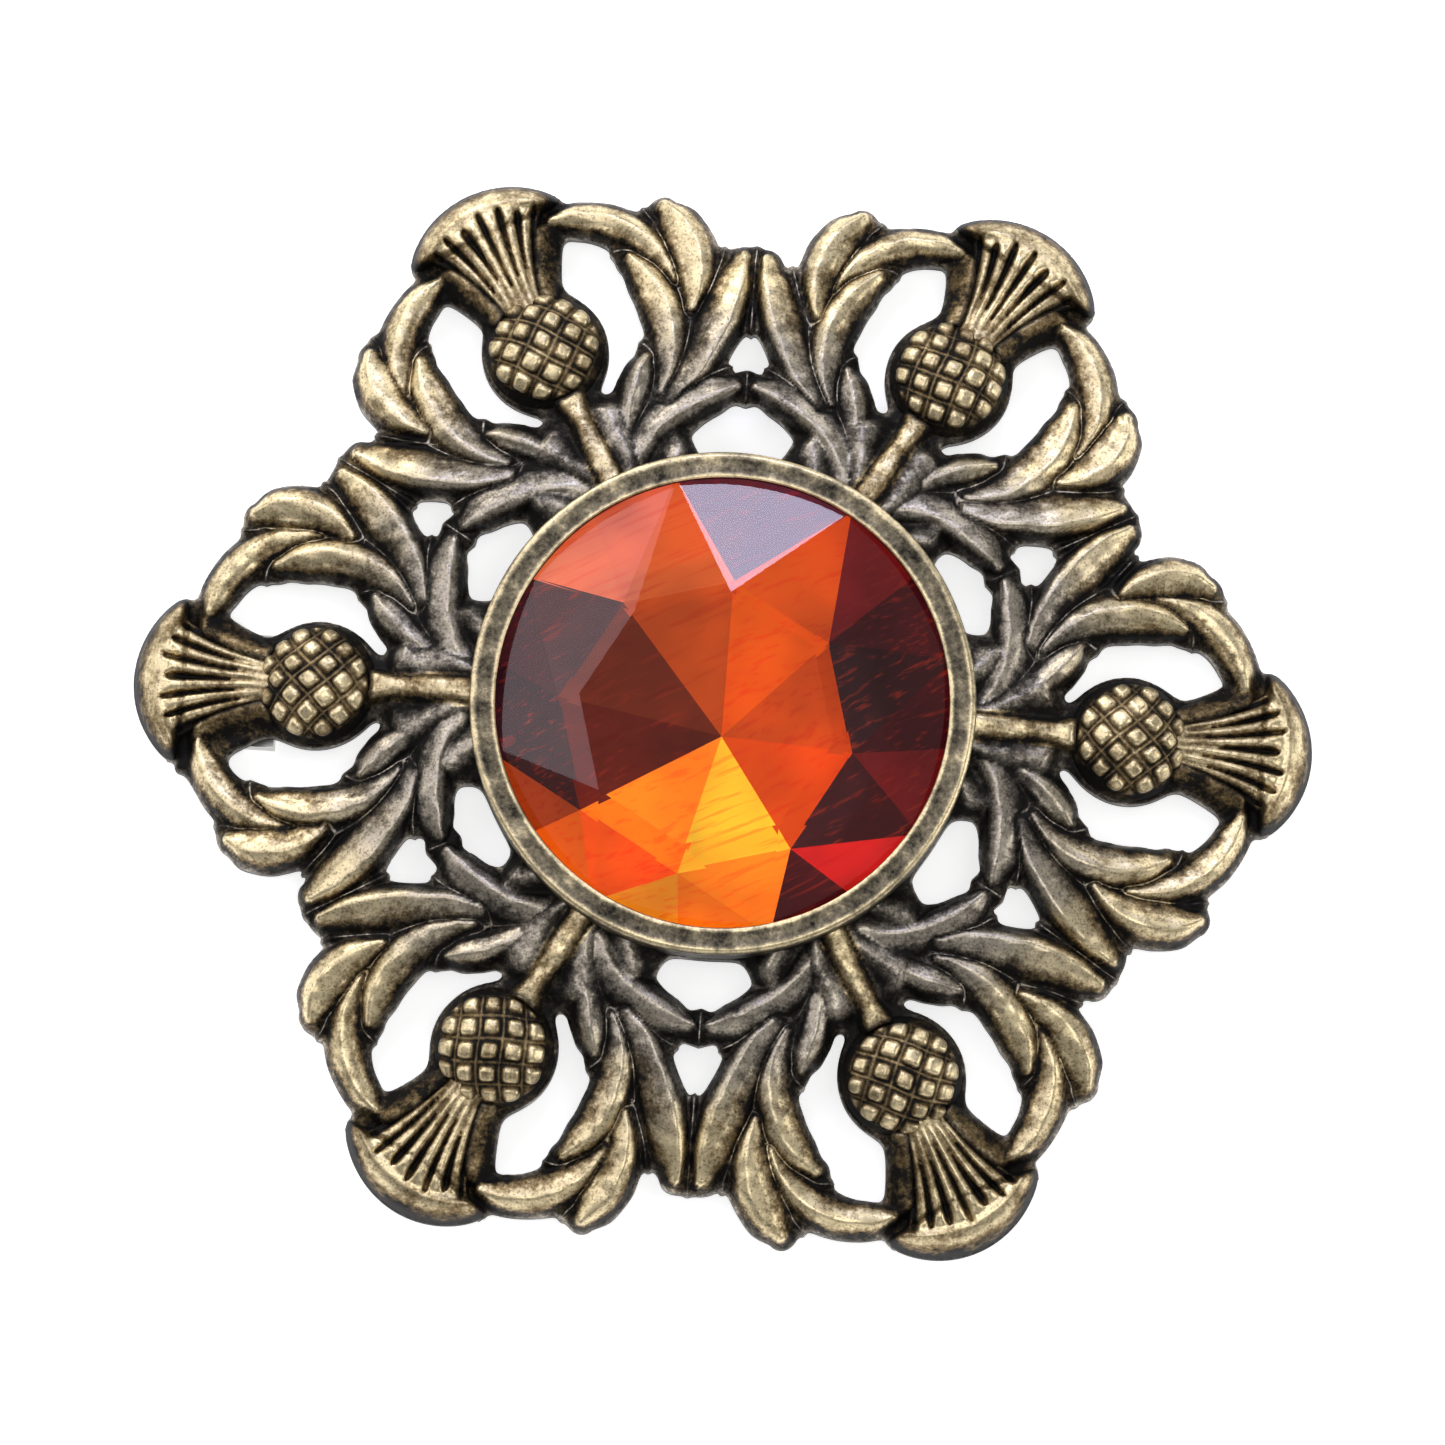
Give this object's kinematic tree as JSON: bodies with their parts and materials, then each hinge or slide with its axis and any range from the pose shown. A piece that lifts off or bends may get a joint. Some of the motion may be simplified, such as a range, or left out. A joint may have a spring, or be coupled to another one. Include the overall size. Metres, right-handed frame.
{
  "type": "thistle brooch",
  "caption": "Round openwork brooch: thistles and leaves in antique brass round a large cut glass stone in a raised setting, with a pin on its back.",
  "frame": {"origin": "middle of the brooch, in the plane that its rim rests on when it lies on its back", "axes": "+Z out of the front of the brooch along the stone's axis, +X along one thistle and away from the pin's hinge, +Y in the plane of the rim"},
  "size_m": [0.065, 0.0582, 0.0096],
  "materials": {
    "antique_brass": "antiqued, dark in the recesses and rubbed bright on the crests",
    "bezel_brass": "satin antique brass",
    "red_glass": "polished, with a mirror back",
    "pin_steel": "plain plated steel"
  },
  "bodies": {
    "root": {"openwork_frame": "antique_brass", "bezel_cup": "bezel_brass", "stone": "red_glass", "brooch_pin": "pin_steel"}
  },
  "joints": []
}
